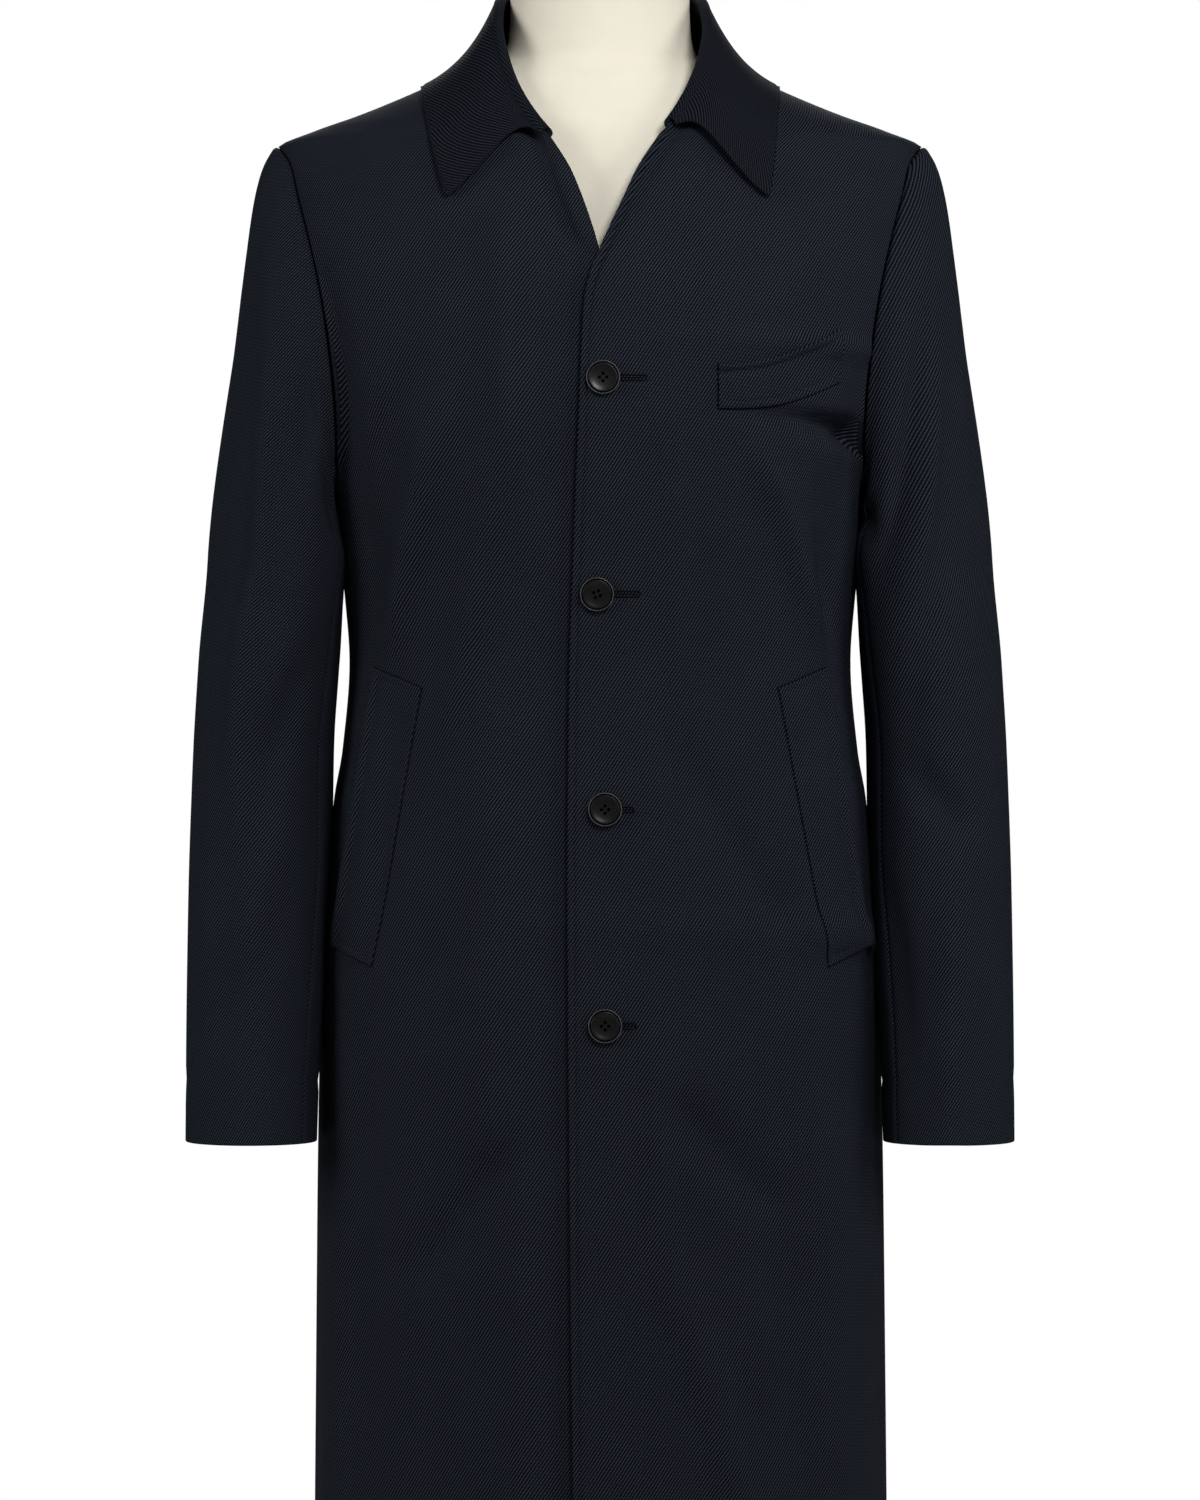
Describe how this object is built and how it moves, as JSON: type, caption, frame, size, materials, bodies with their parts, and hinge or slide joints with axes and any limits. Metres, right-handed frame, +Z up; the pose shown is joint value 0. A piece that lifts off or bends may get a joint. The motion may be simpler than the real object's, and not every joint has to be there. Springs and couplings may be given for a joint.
{
  "type": "overcoat on a dress form",
  "caption": "Knee-length single-breasted wool overcoat with a turn-down collar, welt pockets and set-in sleeves, hung on a linen dress form with a pole and floor plate.",
  "frame": {"origin": "on the floor, at the middle of the round floor plate, under the form's pole", "axes": "+Z up along the pole; the coat faces -Y; +X to the wearer's left"},
  "size_m": [0.557, 0.38, 1.6],
  "materials": {
    "navy_wool": "matte wool twill",
    "dark_horn": "polished black",
    "cream_linen": "plain linen",
    "dark_steel": "satin black"
  },
  "bodies": {
    "root": {"front_left": "navy_wool", "front_right": "navy_wool", "back_left": "navy_wool", "back_right": "navy_wool", "sleeve_top_left": "navy_wool", "sleeve_top_right": "navy_wool", "sleeve_under_left": "navy_wool", "sleeve_under_right": "navy_wool", "collar": "navy_wool", "chest_welt": "navy_wool", "pocket_welt_left": "navy_wool", "pocket_welt_right": "navy_wool", "button_1": "dark_horn", "button_2": "dark_horn", "button_3": "dark_horn", "button_4": "dark_horn", "form_torso": "cream_linen", "stand_pole": "dark_steel", "stand_base": "dark_steel"}
  },
  "joints": []
}
